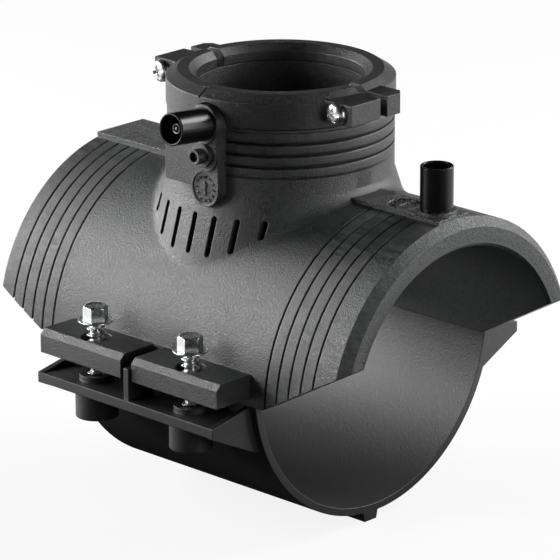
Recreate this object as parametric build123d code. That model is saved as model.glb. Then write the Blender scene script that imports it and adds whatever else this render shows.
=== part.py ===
from build123d import *
from math import radians, tan
import os

os.makedirs("parts", exist_ok=True)

# ---------------------------------------------------------------------------
# Driving dimensions, in millimetres. X runs along the main pipe, Z up the branch,
# and the origin is where the branch axis crosses the main pipe's axis.
# ---------------------------------------------------------------------------

# Main pipe seat and saddle shell
PIPE_RADIUS = 55.0
SADDLE_WALL = 10.8
SADDLE_HALF_LENGTH = 90.9
END_BEVEL = 3.5
SEAT_CHAMFER = 1.15
SPLIT_HEIGHT = 0.6
CLIP_START_RIGHT = 53.6
CLIP_START_LEFT = 57.2
CLIP_ANGLE_RIGHT = 29.6
CLIP_ANGLE_LEFT = 26.8
GROOVE_WIDTH = 0.9
GROOVE_DEPTH = 1.2
GROOVE_COUNT = 5
GROOVE_PITCH = 5.65
GROOVE_START_RIGHT = 54.7
GROOVE_START_LEFT = 57.9

# Flat strip along the crown
CROWN_HALF_WIDTH_RIGHT = 8.2
CROWN_HALF_WIDTH_LEFT = 12.4
CROWN_RISE = 0.9
CROWN_END_SETBACK = 3.6

# Branch socket, for a 63 mm pipe
BRANCH_BORE_RADIUS = 31.9
BRANCH_OUTER_RADIUS = 42.9
PIPE_STOP_HEIGHT = 58.0
PASSAGE_RADIUS = 27.0
SHOULDER_HEIGHT = 94.4
BAND_RISE = 11.0
SKIRT_SLOPE = 0.31
SKIRT_FOOT_HEIGHT = 30.0
SKIRT_FILLET = 6.0
RIB_GROOVE_DROP = 5.4
RIB_PITCH = 4.5
RIB_GROOVES = 3

# Cored slots in the skirt
SLOT_WIDTH = 2.3
SLOT_PITCH = 9.0
SLOT_PAIRS = 3
SLOT_TOP = 60.3
SLOT_LOWEST = 45.4
SLOT_FOOT_MARGIN = 1.2
SLOT_BACK_WALL = 4.9

# Retaining lip that holds the clamp ring
NECK_RADIUS = 36.4
LIP_RADIUS = 39.4
LIP_HEIGHT = 3.0
LIP_PLAY = 0.2
RING_SEAT_GAP = 0.3
TERMINAL_CLEARANCE = 20.0

# Two-part pipe clamp ring
RING_HEIGHT = 12.45
RING_OUTER_RADIUS = 43.3
RING_TOP_RADIUS = 38.85
RING_BEVEL_DROP = 2.85
RING_MOUTH_CHAMFER = 2.65
RING_TRAVEL = 1.2
RING_SIDE_PLAY = 0.2
RING_HALF_GAP = 1.85
RING_SLIT = 0.6
LUG_REACH_RIGHT = 52.5
LUG_REACH_LEFT = 49.6
LUG_RISE = 2.7
LUG_HEIGHT = 7.8
LUG_FRONT = 15.6
LUG_REAR = 9.5
LUG_CHAMFER = 2.4

# Ring screws
RING_SCREW_X = 45.6
RING_SCREW_RISE_RIGHT = 3.7
RING_SCREW_RISE_LEFT = 3.0
RING_SCREW_RADIUS = 2.0
RING_SCREW_LENGTH = 27.5
RING_HEAD_RADIUS = 3.9
RING_HEAD_HEIGHT = 2.8
SCREW_HOLE_PLAY = 0.25
RUNNING_PLAY = 0.05

# Terminal panel on the front of the socket
PANEL_DEPTH = 45.5
PANEL_DATUM_RISE = 0.8
PANEL_LEFT = 16.0
PANEL_RIGHT = 11.5
PANEL_HEIGHT = 24.0
PLATE_RISE = 0.8
PLATE_LEFT_DROP = 9.0
TERMINAL_X = 4.6
TERMINAL_TILT = 5.0
TERMINAL_BOSS_RADIUS = 7.3
INDICATOR_X = 4.9
INDICATOR_DROP = 11.6
DIAL_X = 4.5
DIAL_DROP = 25.0
DIAL_RADIUS = 6.15
DIAL_RIM = 0.75
DIAL_RECESS = 0.4

# Electrical terminals, 4 mm pins in shrouds
SHROUD_OUTER_RADIUS = 6.2
SHROUD_WALL = 0.95
SHROUD_LENGTH = 18.0
SHROUD_SEAT = 1.5
PIN_RADIUS = 2.0
PIN_REACH = 11.0
PIN_ROOT = 5.0
CROWN_TERMINAL_X = 78.95
CROWN_BOSS_RADIUS = 7.6
CROWN_BOSS_RISE = 1.6
CROWN_DIAL_X = 63.0

# Fusion indicator
INDICATOR_BASE_RADIUS = 4.6
INDICATOR_BASE_HEIGHT = 1.6
INDICATOR_TUBE_RADIUS = 2.95
INDICATOR_TUBE_HEIGHT = 3.6
INDICATOR_PIN_RADIUS = 1.9
INDICATOR_PIN_LENGTH = 7.0
INDICATOR_RECESS = 1.2

# Heating wires
WIRE_SIZE = 0.9
COIL_DEPTH = 0.5
COIL_RISE = 5.0
COIL_TURNS = 6
COIL_PITCH = 4.4
MAT_INNER_RADIUS = 30.5
MAT_TURNS = 4
MAT_PITCH = 3.0

# Ear blocks on the saddle
EAR_HALF_LENGTH = 46.6
EAR_REACH = 82.3
EAR_TOP = 12.5
EAR_THICKNESS = 9.1
EAR_CHAMFER = 2.2
EAR_HOLE_RADIUS = 5.8
EAR_GAP_WIDTH = 5.8
EAR_GAP_CENTRE = -0.6

# Screws that draw the lower clamp up
SCREW_SPACING = 50.0
SCREW_SETBACK = 8.2
SCREW_STAND_OFF = 5.7
SCREW_RADIUS = 3.5
SCREW_LENGTH = 28.0
SCREW_TIP = 1.5
HEX_ACROSS_FLATS = 8.4
HEX_HEIGHT = 5.5
FLANGE_RADIUS = 6.6
FLANGE_HEIGHT = 1.3

# Lower clamp
CLAMP_RADIUS = 62.26
CLAMP_WALL = 2.93
CLAMP_HALF_LENGTH = 49.3
CLAMP_SEAT_GAP = 0.3
PLATE_HALF_LENGTH = 46.2
PLATE_OVERHANG = 2.0
PLATE_TOP = -3.9
PLATE_THICKNESS = 3.8
COLLAR_RADIUS = 6.4
COLLAR_HEIGHT = 2.2
BOSS_RADIUS = 8.1
BOSS_DROP = 10.6
BOSS_FLOOR = 1.4
GUSSET_THICKNESS = 2.4
GUSSET_TIP_DROP = 4.0
GUSSET_ROOT_DROP = 14.8
BLADE_THICKNESS = 2.4
BLADE_PLAY = 0.7
BLADE_TOP = 8.3
BLADE_DEPTH = 13.0
KEEL_OFFSET = -2.8
KEEL_HALF_WIDTH = 3.2
KEEL_TAPER = 0.9
KEEL_HEIGHT = 3.3

# ---------------------------------------------------------------------------
# Sizes that follow from the driving ones
# ---------------------------------------------------------------------------
SADDLE_OUTER = PIPE_RADIUS + SADDLE_WALL
CROWN_TOP = SADDLE_OUTER + CROWN_RISE
CROWN_HALF_WIDTH = {1: CROWN_HALF_WIDTH_RIGHT, -1: CROWN_HALF_WIDTH_LEFT}
GROOVE_START = {1: GROOVE_START_RIGHT, -1: GROOVE_START_LEFT}
LUG_REACH = {1: LUG_REACH_RIGHT, -1: LUG_REACH_LEFT}
RING_SCREW_RISE = {1: RING_SCREW_RISE_RIGHT, -1: RING_SCREW_RISE_LEFT}
BAND_HEIGHT = PIPE_STOP_HEIGHT + BAND_RISE
PANEL_DATUM = SHOULDER_HEIGHT + PANEL_DATUM_RISE
SCREW_OFFSET = EAR_REACH - SCREW_SETBACK
PLATE_REACH = EAR_REACH + PLATE_OVERHANG
CLAMP_CENTRE = CLAMP_RADIUS - PIPE_RADIUS
CLAMP_RIM = SPLIT_HEIGHT - CLAMP_SEAT_GAP
RING_BOTTOM = SHOULDER_HEIGHT + RING_SEAT_GAP
RING_TOP = RING_BOTTOM + RING_HEIGHT
LIP_BOTTOM = SHOULDER_HEIGHT + LIP_HEIGHT + LIP_PLAY
LIP_TOP = LIP_BOTTOM + LIP_HEIGHT
SCREW_SEAT = EAR_TOP + SCREW_STAND_OFF
BOSS_BOTTOM = PLATE_TOP - PLATE_THICKNESS - BOSS_DROP
PANEL = Plane(origin=(0, -PANEL_DEPTH, PANEL_DATUM), x_dir=(1, 0, 0), z_dir=(0, -1, 0))
TERMINAL = PANEL * Pos(TERMINAL_X, 0, PLATE_RISE) * Rot(-TERMINAL_TILT, 0, 0)
CROWN_TERMINAL = Pos(CROWN_TERMINAL_X, 0, CROWN_TOP + CROWN_BOSS_RISE)
FAR = 400.0


def along_x(radius, length):
    """A solid cylinder centred on the main pipe's axis."""
    return Rot(0, 90, 0) * Cylinder(radius, length)


def ring_about_x(inner, outer, centre_x, width):
    """A plain ring about the main pipe's axis."""
    return Pos(centre_x, 0, 0) * (along_x(outer, width) - along_x(inner, 2 * width))


def turned(points):
    """A solid of revolution about Z from (radius, height) points."""
    return revolve(make_face(Polyline(*[(r, 0, z) for r, z in points], close=True)), Axis.Z)


def box_between(low, high):
    """A box from its lowest to its highest corner."""
    size = [b - a for a, b in zip(low, high)]
    middle = [(a + b) / 2 for a, b in zip(low, high)]
    return Pos(*middle) * Box(*size)


def both_sides(solid):
    """The solid and its mirror image across the XZ plane."""
    return solid + mirror(solid, Plane.XZ)


def upright(radius, x, y, low, high):
    """A vertical cylinder between two heights."""
    return Pos(x, y, (low + high) / 2) * Cylinder(radius, high - low)


def skirt_radius(height):
    """Radius of the socket's conical skirt at a height."""
    return BRANCH_OUTER_RADIUS + (BAND_HEIGHT - height) * SKIRT_SLOPE


def skirt_edge(x):
    """Height at which the skirt meets the saddle, in the plane at x."""
    low, high = SKIRT_FOOT_HEIGHT, SADDLE_OUTER
    for _ in range(40):
        middle = (low + high) / 2
        outside = x * x + SADDLE_OUTER**2 - middle**2 > skirt_radius(middle) ** 2
        low, high = (middle, high) if outside else (low, middle)
    return low


# ---------------------------------------------------------------------------
# Saddle body: the one-piece moulding
# ---------------------------------------------------------------------------
def saddle_shell():
    """Half pipe with bevelled ends, clipped lower corners and ring grooves."""
    end = SADDLE_HALF_LENGTH
    outer = along_x(SADDLE_OUTER, 2 * end)
    outer = chamfer(outer.edges().filter_by(GeomType.CIRCLE), END_BEVEL)
    left = SPLIT_HEIGHT + (end - CLIP_START_LEFT) * tan(radians(CLIP_ANGLE_LEFT))
    right = SPLIT_HEIGHT + (end - CLIP_START_RIGHT) * tan(radians(CLIP_ANGLE_RIGHT))
    side = Polyline(
        (-end, FAR), (-end, left), (-CLIP_START_LEFT, SPLIT_HEIGHT),
        (CLIP_START_RIGHT, SPLIT_HEIGHT), (end, right), (end, FAR), close=True,
    )
    shell = outer & extrude(Plane.XZ * make_face(side), FAR, both=True)
    for hand, start in GROOVE_START.items():
        for step in range(GROOVE_COUNT):
            x = hand * (start + step * GROOVE_PITCH)
            shell -= ring_about_x(SADDLE_OUTER - GROOVE_DEPTH, SADDLE_OUTER + 1, x, GROOVE_WIDTH)
    return shell


def crown_strip():
    """Flat strip along the crown that carries the dial and the terminal."""
    strip = upright(CROWN_BOSS_RADIUS, CROWN_TERMINAL_X, 0, PIPE_RADIUS, CROWN_TOP + CROWN_BOSS_RISE)
    for hand, width in CROWN_HALF_WIDTH.items():
        near, far = sorted((0, hand * (SADDLE_HALF_LENGTH - CROWN_END_SETBACK)))
        strip += box_between((near, -width, PIPE_RADIUS), (far, width, CROWN_TOP))
    return strip


def branch_socket():
    """Turned outside of the socket: skirt, band, grooves, shoulder and retaining lip."""
    socket = turned([
        (0, SKIRT_FOOT_HEIGHT), (skirt_radius(SKIRT_FOOT_HEIGHT), SKIRT_FOOT_HEIGHT),
        (BRANCH_OUTER_RADIUS, BAND_HEIGHT), (BRANCH_OUTER_RADIUS, SHOULDER_HEIGHT),
        (NECK_RADIUS, SHOULDER_HEIGHT), (NECK_RADIUS, LIP_BOTTOM), (LIP_RADIUS, LIP_BOTTOM),
        (LIP_RADIUS, LIP_TOP), (0, LIP_TOP),
    ])
    for step in range(RIB_GROOVES):
        top = SHOULDER_HEIGHT - RIB_GROOVE_DROP - step * RIB_PITCH
        ring = Cylinder(BRANCH_OUTER_RADIUS + 1, GROOVE_WIDTH)
        ring -= Cylinder(BRANCH_OUTER_RADIUS - GROOVE_DEPTH, 2 * GROOVE_WIDTH)
        socket -= Pos(0, 0, top) * ring
    return socket


def panel_circle(radius, x, drop, low, high):
    """A cylinder square to the panel, centred a drop below its datum."""
    return PANEL * upright(radius, x, -drop, low, high)


def terminal_panel():
    """Pad with its raised plate, terminal boss, indicator seat and dial tab."""
    head = SHOULDER_HEIGHT - PANEL_DATUM
    foot = head - PANEL_HEIGHT
    inward = -PANEL_DEPTH + BRANCH_BORE_RADIUS + 2
    pad = PANEL * box_between((-PANEL_LEFT, foot, inward), (PANEL_RIGHT, head, 0))
    radius = PANEL_RIGHT - INDICATOR_X
    edge = Line((-PANEL_LEFT, head), (-PANEL_LEFT, -PLATE_LEFT_DROP))
    edge += Line(edge @ 1, (INDICATOR_X, -INDICATOR_DROP - radius))
    edge += RadiusArc((INDICATOR_X, -INDICATOR_DROP - radius), (PANEL_RIGHT, -INDICATOR_DROP), -radius)
    edge += Polyline((PANEL_RIGHT, -INDICATOR_DROP), (PANEL_RIGHT, head), (-PANEL_LEFT, head))
    pad += PANEL * extrude(make_face(edge), PLATE_RISE)
    pad += TERMINAL * upright(TERMINAL_BOSS_RADIUS, 0, 0, inward, 0)
    pad += panel_circle(DIAL_RADIUS + DIAL_RIM, DIAL_X, DIAL_DROP, inward, 0)
    pad -= panel_circle(DIAL_RADIUS, DIAL_X, DIAL_DROP, -DIAL_RECESS, 1)
    base_top = PLATE_RISE + INDICATOR_BASE_HEIGHT
    pad += panel_circle(INDICATOR_BASE_RADIUS, INDICATOR_X, INDICATOR_DROP, 0, base_top)
    tube_top = base_top + INDICATOR_TUBE_HEIGHT
    pad += panel_circle(INDICATOR_TUBE_RADIUS, INDICATOR_X, INDICATOR_DROP, 0, tube_top)
    return pad


def skirt_slots():
    """Slots cored into the skirt from the front and the rear, down to the socket's inner wall."""
    slots = None
    for step in range(-SLOT_PAIRS, SLOT_PAIRS + 1):
        x = step * SLOT_PITCH
        bottom = max(SLOT_LOWEST, skirt_edge(x) + SLOT_FOOT_MARGIN)
        outline = Pos(x, (SLOT_TOP + bottom) / 2) * SlotOverall(SLOT_TOP - bottom, SLOT_WIDTH, rotation=90)
        slot = extrude(Plane.XZ * outline, FAR)
        slots = slot if slots is None else slots + slot
    core = upright(BRANCH_BORE_RADIUS + SLOT_BACK_WALL, 0, 0, 0, BAND_HEIGHT)
    return both_sides(slots - core)


def ear_blocks():
    """Front pair of ear blocks with their screw holes; the rear pair mirrors them."""
    low = EAR_TOP - EAR_THICKNESS
    block = box_between((-EAR_HALF_LENGTH, -EAR_REACH, low), (EAR_HALF_LENGTH, -PIPE_RADIUS, EAR_TOP))
    front_top = block.edges().filter_by(Axis.X).sort_by(Axis.Z)[-2:].sort_by(Axis.Y)[0]
    block = chamfer(front_top, EAR_CHAMFER)
    half_gap = EAR_GAP_WIDTH / 2
    gap_low = (EAR_GAP_CENTRE - half_gap, -EAR_REACH - 1, low - 1)
    gap_high = (EAR_GAP_CENTRE + half_gap, -SADDLE_OUTER + 0.5, EAR_TOP + 1)
    return block - box_between(gap_low, gap_high)


def saddle_body():
    """The whole upper moulding."""
    body = saddle_shell() + branch_socket()
    body = fillet(body.edges().filter_by(GeomType.BSPLINE), SKIRT_FILLET)
    body += crown_strip() + both_sides(ear_blocks()) + terminal_panel()
    body -= skirt_slots()
    body -= along_x(PIPE_RADIUS, 3 * SADDLE_HALF_LENGTH)
    for hand in (-1, 1):
        mouth = Plane((hand * SADDLE_HALF_LENGTH, 0, 0), z_dir=(-hand, 0, 0))
        body -= mouth * Pos(0, 0, SEAT_CHAMFER / 2) * Cone(
            PIPE_RADIUS + SEAT_CHAMFER, PIPE_RADIUS, SEAT_CHAMFER)
    body -= upright(BRANCH_BORE_RADIUS, 0, 0, PIPE_STOP_HEIGHT, LIP_TOP + 1)
    body -= upright(PASSAGE_RADIUS, 0, 0, 0, PIPE_STOP_HEIGHT + 1)
    for x in (-SCREW_SPACING / 2, SCREW_SPACING / 2):
        for y in (-SCREW_OFFSET, SCREW_OFFSET):
            body -= upright(EAR_HOLE_RADIUS, x, y, 0, EAR_TOP + 1)
    for place in (TERMINAL, CROWN_TERMINAL):
        body -= place * upright(SHROUD_OUTER_RADIUS, 0, 0, -SHROUD_SEAT, SHROUD_SEAT)
        body += place * upright(SHROUD_OUTER_RADIUS - SHROUD_WALL, 0, 0, -SHROUD_SEAT - 1, 0)
        body -= place * upright(PIN_RADIUS, 0, 0, -PIN_ROOT, 1)
    body -= upright(DIAL_RADIUS, CROWN_DIAL_X, 0, CROWN_TOP - DIAL_RECESS, CROWN_TOP + 1)
    tube_top = PLATE_RISE + INDICATOR_BASE_HEIGHT + INDICATOR_TUBE_HEIGHT
    pin_low = tube_top - INDICATOR_RECESS - INDICATOR_PIN_LENGTH - RING_SEAT_GAP
    body -= panel_circle(
        INDICATOR_PIN_RADIUS + RUNNING_PLAY, INDICATOR_X, INDICATOR_DROP, pin_low, tube_top + 1)
    return body


# ---------------------------------------------------------------------------
# Clamp ring round the socket mouth
# ---------------------------------------------------------------------------
def clamp_ring():
    """Whole ring with its lugs, before it is split."""
    room = RING_TRAVEL + RING_SIDE_PLAY
    bore = BRANCH_BORE_RADIUS
    ring = turned([
        (NECK_RADIUS + room, RING_BOTTOM), (RING_OUTER_RADIUS, RING_BOTTOM),
        (RING_OUTER_RADIUS, RING_TOP - RING_BEVEL_DROP), (RING_TOP_RADIUS, RING_TOP),
        (bore + RING_MOUTH_CHAMFER, RING_TOP), (bore, RING_TOP - RING_MOUTH_CHAMFER),
        (bore, LIP_TOP + LIP_PLAY), (LIP_RADIUS + room, LIP_TOP + LIP_PLAY),
        (LIP_RADIUS + room, LIP_BOTTOM - LIP_PLAY), (NECK_RADIUS + room, LIP_BOTTOM - LIP_PLAY),
    ])
    low = RING_BOTTOM + LUG_RISE
    lugs = None
    for hand in (-1, 1):
        inner, outer = sorted((hand * RING_TOP_RADIUS, hand * LUG_REACH[hand]))
        lug = box_between(
            (inner, -RING_HALF_GAP - LUG_FRONT, low),
            (outer, RING_HALF_GAP + LUG_REAR, low + LUG_HEIGHT))
        ends = lug.edges().filter_by(Axis.Z)
        tip = ends.sort_by(Axis.X)[-2:] if hand > 0 else ends.sort_by(Axis.X)[:2]
        lug = chamfer(tip.sort_by(Axis.Y)[1], LUG_CHAMFER)
        lugs = lug if lugs is None else lugs + lug
    return ring + (lugs - upright((RING_OUTER_RADIUS + LIP_RADIUS) / 2, 0, 0, 0, FAR))


def ring_screw_axis(hand):
    """Placement of a ring screw, pointing out of the front lug."""
    height = RING_BOTTOM + LUG_RISE + RING_SCREW_RISE[hand]
    return Pos(hand * RING_SCREW_X, -RING_HALF_GAP - LUG_FRONT, height) * Rot(90, 0, 0)


def ring_half(side):
    """One half of the clamp ring: side -1 is the front, +1 the rear."""
    near, far = sorted((side * RING_HALF_GAP, side * FAR))
    half = clamp_ring() & box_between((-FAR, near, 0), (FAR, far, FAR))
    play = SCREW_HOLE_PLAY if side < 0 else RUNNING_PLAY
    for hand in (-1, 1):
        half -= ring_screw_axis(hand) * Cylinder(RING_SCREW_RADIUS + play, FAR)
    if side < 0:
        half -= TERMINAL * upright(
            TERMINAL_BOSS_RADIUS + RING_SIDE_PLAY + RING_SEAT_GAP, 0, 0, -TERMINAL_CLEARANCE, TERMINAL_CLEARANCE)
        slit_low = (-RING_SLIT / 2, -RING_OUTER_RADIUS - 1, RING_TOP - RING_BEVEL_DROP - RING_SLIT)
        slit = box_between(slit_low, (RING_SLIT / 2, -RING_TOP_RADIUS + RING_SLIT, RING_TOP + 1))
        half -= slit - turned([
            (0, 0), (RING_OUTER_RADIUS - RING_SLIT, 0),
            (RING_OUTER_RADIUS - RING_SLIT, RING_TOP - RING_BEVEL_DROP - RING_SLIT),
            (RING_TOP_RADIUS - RING_SLIT, RING_TOP - RING_SLIT), (0, RING_TOP - RING_SLIT)])
    return half


def ring_screw(hand):
    """Pan-head screw through the front lug into the rear lug."""
    shank = Cylinder(RING_SCREW_RADIUS, RING_SCREW_LENGTH, align=(Align.CENTER, Align.CENTER, Align.MAX))
    shank = chamfer(shank.edges().sort_by(Axis.Z)[0], RING_SCREW_RADIUS / 3)
    head = Cylinder(RING_HEAD_RADIUS, RING_HEAD_HEIGHT, align=(Align.CENTER, Align.CENTER, Align.MIN))
    head = chamfer(head.edges().sort_by(Axis.Z)[-1], RING_HEAD_HEIGHT / 3)
    slot = Box(RING_HEAD_RADIUS * 1.1, 0.9, 1.2) + Box(0.9, RING_HEAD_RADIUS * 1.1, 1.2)
    head -= Pos(0, 0, RING_HEAD_HEIGHT) * slot
    return ring_screw_axis(hand) * (shank + head)


# ---------------------------------------------------------------------------
# Lower clamp and the screws that draw it up
# ---------------------------------------------------------------------------
def clamp_ear():
    """Front ear plate with collars, bosses, gussets and guide blade."""
    bottom = PLATE_TOP - PLATE_THICKNESS
    ear = box_between(
        (-PLATE_HALF_LENGTH, -PLATE_REACH, bottom), (PLATE_HALF_LENGTH, -PIPE_RADIUS, PLATE_TOP))
    gusset = Polyline(
        (-PLATE_REACH, PLATE_TOP), (-CLAMP_RADIUS, CLAMP_RIM), (-PIPE_RADIUS, CLAMP_RIM),
        (-PIPE_RADIUS, PLATE_TOP - GUSSET_ROOT_DROP), (-CLAMP_RADIUS, PLATE_TOP - GUSSET_ROOT_DROP),
        (-PLATE_REACH, PLATE_TOP - GUSSET_TIP_DROP), close=True,
    )
    web = extrude(Plane.YZ * make_face(gusset), GUSSET_THICKNESS)
    ear += Pos(PLATE_HALF_LENGTH - GUSSET_THICKNESS, 0, 0) * web
    ear += Pos(-PLATE_HALF_LENGTH, 0, 0) * web
    for x in (-SCREW_SPACING / 2, SCREW_SPACING / 2):
        ear += upright(COLLAR_RADIUS, x, -SCREW_OFFSET, PLATE_TOP, PLATE_TOP + COLLAR_HEIGHT)
        ear += upright(BOSS_RADIUS, x, -SCREW_OFFSET, BOSS_BOTTOM, PLATE_TOP)
    blade_end = EAR_GAP_CENTRE + EAR_GAP_WIDTH / 2 - BLADE_PLAY
    blade_low = (blade_end - BLADE_THICKNESS, -PLATE_REACH + 1, bottom)
    ear += box_between(blade_low, (blade_end, -PLATE_REACH + 1 + BLADE_DEPTH, BLADE_TOP))
    return ear


def lower_clamp():
    """Thin half shell with an ear on each side and a keel below."""
    outer = CLAMP_RADIUS + CLAMP_WALL
    length = 2 * CLAMP_HALF_LENGTH
    bottom = CLAMP_CENTRE - outer
    keel = Polyline(
        (KEEL_OFFSET - KEEL_HALF_WIDTH, bottom - KEEL_HEIGHT),
        (KEEL_OFFSET + KEEL_HALF_WIDTH, bottom - KEEL_HEIGHT),
        (KEEL_OFFSET + KEEL_HALF_WIDTH + KEEL_TAPER, bottom + KEEL_TAPER),
        (KEEL_OFFSET - KEEL_HALF_WIDTH - KEEL_TAPER, bottom + KEEL_TAPER), close=True,
    )
    clamp = Pos(0, 0, CLAMP_CENTRE) * along_x(outer, length)
    clamp += extrude(Plane.YZ * make_face(keel), CLAMP_HALF_LENGTH, both=True)
    clamp &= box_between((-FAR, -FAR, -FAR), (FAR, FAR, CLAMP_RIM))
    clamp += both_sides(clamp_ear())
    clamp -= Pos(0, 0, CLAMP_CENTRE) * along_x(CLAMP_RADIUS, 2 * length)
    for x in (-SCREW_SPACING / 2, SCREW_SPACING / 2):
        for y in (-SCREW_OFFSET, SCREW_OFFSET):
            clamp -= upright(SCREW_RADIUS + RUNNING_PLAY, x, y, BOSS_BOTTOM + BOSS_FLOOR, 1)
    return clamp


def clamp_screw(x, y):
    """Thread-forming screw with a hexagon head and a flange."""
    shank = Cylinder(SCREW_RADIUS, SCREW_LENGTH, align=(Align.CENTER, Align.CENTER, Align.MAX))
    shank = chamfer(shank.edges().sort_by(Axis.Z)[0], SCREW_TIP)
    flange = Cylinder(FLANGE_RADIUS, FLANGE_HEIGHT, align=(Align.CENTER, Align.CENTER, Align.MIN))
    flange = chamfer(flange.edges().sort_by(Axis.Z)[-1], FLANGE_HEIGHT * 0.6)
    hexagon = RegularPolygon(HEX_ACROSS_FLATS / 2, 6, major_radius=False)
    head = extrude(Pos(0, 0, FLANGE_HEIGHT / 2) * hexagon, HEX_HEIGHT + FLANGE_HEIGHT / 2)
    return Pos(x, y, SCREW_SEAT) * (shank + flange + head)


# ---------------------------------------------------------------------------
# Terminals, indicator and heating wires
# ---------------------------------------------------------------------------
def shroud():
    """Insulating sleeve round a terminal pin, seated in its counterbore below z = 0."""
    tube = Cylinder(SHROUD_OUTER_RADIUS, SHROUD_LENGTH, align=(Align.CENTER, Align.CENTER, Align.MIN))
    tube -= Cylinder(SHROUD_OUTER_RADIUS - SHROUD_WALL, 3 * SHROUD_LENGTH)
    rim = tube.edges().filter_by(GeomType.CIRCLE).group_by(Axis.Z)[-1]
    return Pos(0, 0, -SHROUD_SEAT) * chamfer(rim, SHROUD_WALL / 4)


def terminal_pin():
    """Contact pin whose root is pressed in below z = 0."""
    pin = Pos(0, 0, -PIN_ROOT) * Cylinder(
        PIN_RADIUS, PIN_ROOT + PIN_REACH, align=(Align.CENTER, Align.CENTER, Align.MIN))
    return chamfer(pin.edges().sort_by(Axis.Z)[-1], PIN_RADIUS / 3)


def indicator_pin():
    """Fusion indicator that the melt pushes out of its tube."""
    top = PLATE_RISE + INDICATOR_BASE_HEIGHT + INDICATOR_TUBE_HEIGHT - INDICATOR_RECESS
    pin = panel_circle(INDICATOR_PIN_RADIUS, INDICATOR_X, INDICATOR_DROP, top - INDICATOR_PIN_LENGTH, top)
    return pin


def socket_coil():
    """Heating wire wound just under the socket's bore."""
    radius = BRANCH_BORE_RADIUS + COIL_DEPTH + WIRE_SIZE / 2
    path = Helix(COIL_PITCH, COIL_TURNS * COIL_PITCH, radius, center=(0, 0, PIPE_STOP_HEIGHT + COIL_RISE))
    section = Plane(origin=path @ 0, z_dir=path % 0) * Rectangle(WIRE_SIZE, WIRE_SIZE)
    return sweep(section, path=path, is_frenet=True)


def saddle_mat():
    """Heating wire in a spiral of half turns round the passage, following the pipe seat."""
    spiral = None
    for half in range(2 * MAT_TURNS):
        radius = MAT_INNER_RADIUS + half * MAT_PITCH / 2
        turn = Cylinder(radius + WIRE_SIZE / 2, FAR) - Cylinder(radius - WIRE_SIZE / 2, FAR)
        side = 1 if half % 2 == 0 else -1
        centre = 0 if side > 0 else MAT_PITCH / 2
        near, far = sorted((0, side * FAR))
        half_space = box_between((-FAR, near, 0), (FAR, far, PIPE_RADIUS + SADDLE_WALL))
        turn = Pos(centre, 0, 0) * turn & half_space
        spiral = turn if spiral is None else spiral + turn
    low = PIPE_RADIUS + COIL_DEPTH
    return spiral & (along_x(low + WIRE_SIZE, FAR) - along_x(low, FAR))


# ---------------------------------------------------------------------------
# Write every piece
# ---------------------------------------------------------------------------
PIECES = {
    "saddle_body": saddle_body(),
    "lower_clamp": lower_clamp(),
    "clamp_ring_front": ring_half(-1),
    "clamp_ring_rear": ring_half(1),
    "ring_screw_left": ring_screw(-1),
    "ring_screw_right": ring_screw(1),
    "socket_terminal_shroud": TERMINAL * shroud(),
    "socket_terminal_pin": TERMINAL * terminal_pin(),
    "saddle_terminal_shroud": CROWN_TERMINAL * shroud(),
    "saddle_terminal_pin": CROWN_TERMINAL * terminal_pin(),
    "fusion_indicator": indicator_pin(),
    "socket_heating_coil": socket_coil(),
    "saddle_heating_mat": saddle_mat(),
}
for side, y in (("front", -SCREW_OFFSET), ("rear", SCREW_OFFSET)):
    for end, x in (("left", -SCREW_SPACING / 2), ("right", SCREW_SPACING / 2)):
        PIECES[f"clamp_screw_{side}_{end}"] = clamp_screw(x, y)

for name, piece in PIECES.items():
    export_step(piece, f"parts/{name}.step")
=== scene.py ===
import logging
from dataclasses import dataclass, field
from enum import Enum
from math import cos, radians, sin, tau

import bpy
import numpy as np
from mathutils import Matrix, Vector


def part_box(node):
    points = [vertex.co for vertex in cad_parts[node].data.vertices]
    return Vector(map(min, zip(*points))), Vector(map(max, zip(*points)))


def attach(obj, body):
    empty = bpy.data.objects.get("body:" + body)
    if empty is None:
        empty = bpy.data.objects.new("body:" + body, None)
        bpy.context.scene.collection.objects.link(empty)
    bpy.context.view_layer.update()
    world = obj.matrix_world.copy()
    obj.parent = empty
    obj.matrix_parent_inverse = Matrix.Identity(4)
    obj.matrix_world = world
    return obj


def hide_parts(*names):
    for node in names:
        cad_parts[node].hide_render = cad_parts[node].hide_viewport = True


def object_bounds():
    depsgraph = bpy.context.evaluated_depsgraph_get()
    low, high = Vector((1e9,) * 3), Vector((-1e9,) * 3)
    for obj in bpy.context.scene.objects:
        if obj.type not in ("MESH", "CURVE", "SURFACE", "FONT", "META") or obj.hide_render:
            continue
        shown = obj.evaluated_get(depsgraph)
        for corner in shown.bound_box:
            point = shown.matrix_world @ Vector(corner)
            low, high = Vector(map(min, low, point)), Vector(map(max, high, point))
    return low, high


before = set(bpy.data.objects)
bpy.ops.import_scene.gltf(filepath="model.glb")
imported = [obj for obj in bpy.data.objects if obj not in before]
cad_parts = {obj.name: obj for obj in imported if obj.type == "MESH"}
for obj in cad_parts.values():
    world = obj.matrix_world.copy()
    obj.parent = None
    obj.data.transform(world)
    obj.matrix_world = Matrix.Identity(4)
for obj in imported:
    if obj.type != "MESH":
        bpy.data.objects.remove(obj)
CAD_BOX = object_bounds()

log = logging.getLogger("tapping_saddle")
MM = 0.001
NODES: dict[str, bpy.types.Object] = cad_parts


EDGE_SAMPLES = 6
WORN_SHIFTS = (("Scuff Sheen", 0.16), ("Crown", -0.23))
SEAT_ROUGHNESS = 0.40
SEAT_HEIGHT = 0.8
BEAD_HEIGHT = 0.0007
# Pale colour of the scuff streaks: part scuffing, part painted sheen that lightens the grooved ends as if
# they caught the light.
SCUFF_SHEEN_COLOUR = (0.055, 0.060, 0.063, 1)


class Side(Enum):
    """Which way a date dial faces."""

    FRONT = "front"
    UP = "up"


class Hand(Enum):
    """Which end of the clamp ring a screw is on."""

    LEFT = "left"
    RIGHT = "right"


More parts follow.
